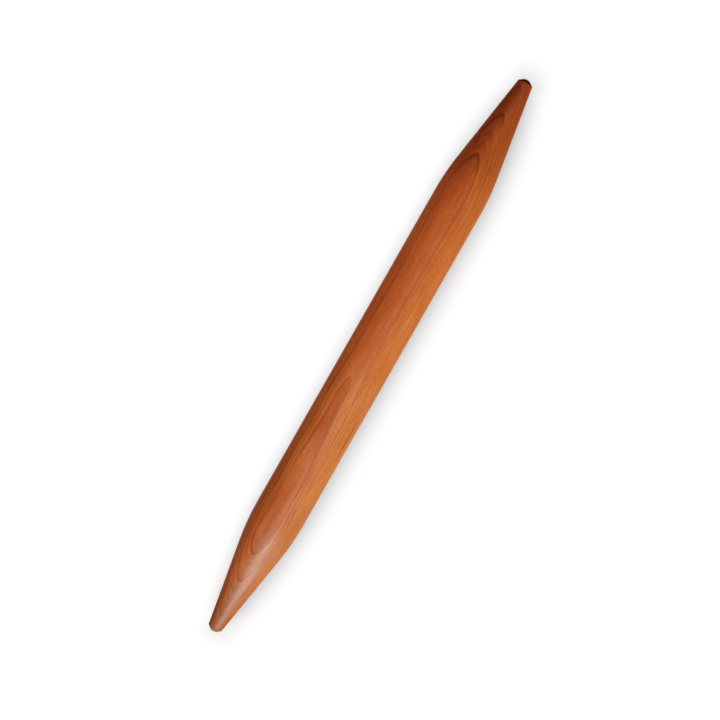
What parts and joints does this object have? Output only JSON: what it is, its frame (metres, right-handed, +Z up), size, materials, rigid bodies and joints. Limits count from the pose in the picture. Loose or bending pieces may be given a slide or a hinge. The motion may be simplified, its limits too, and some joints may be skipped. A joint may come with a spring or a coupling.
{
  "type": "french rolling pin",
  "caption": "Handle-less rolling pin turned from solid cherry: a straight barrel with long plain tapers and bevelled, domed ends.",
  "frame": {"origin": "on the pin's axis, midway between its two tips", "axes": "+X along the pin's axis, towards the end with the longer taper; +Z up, with the pin lying on a table at z = -0.0214"},
  "size_m": [0.52, 0.0427, 0.0428],
  "materials": {
    "cherry": "satin"
  },
  "bodies": {
    "root": {"rolling_pin": "cherry"}
  },
  "joints": []
}
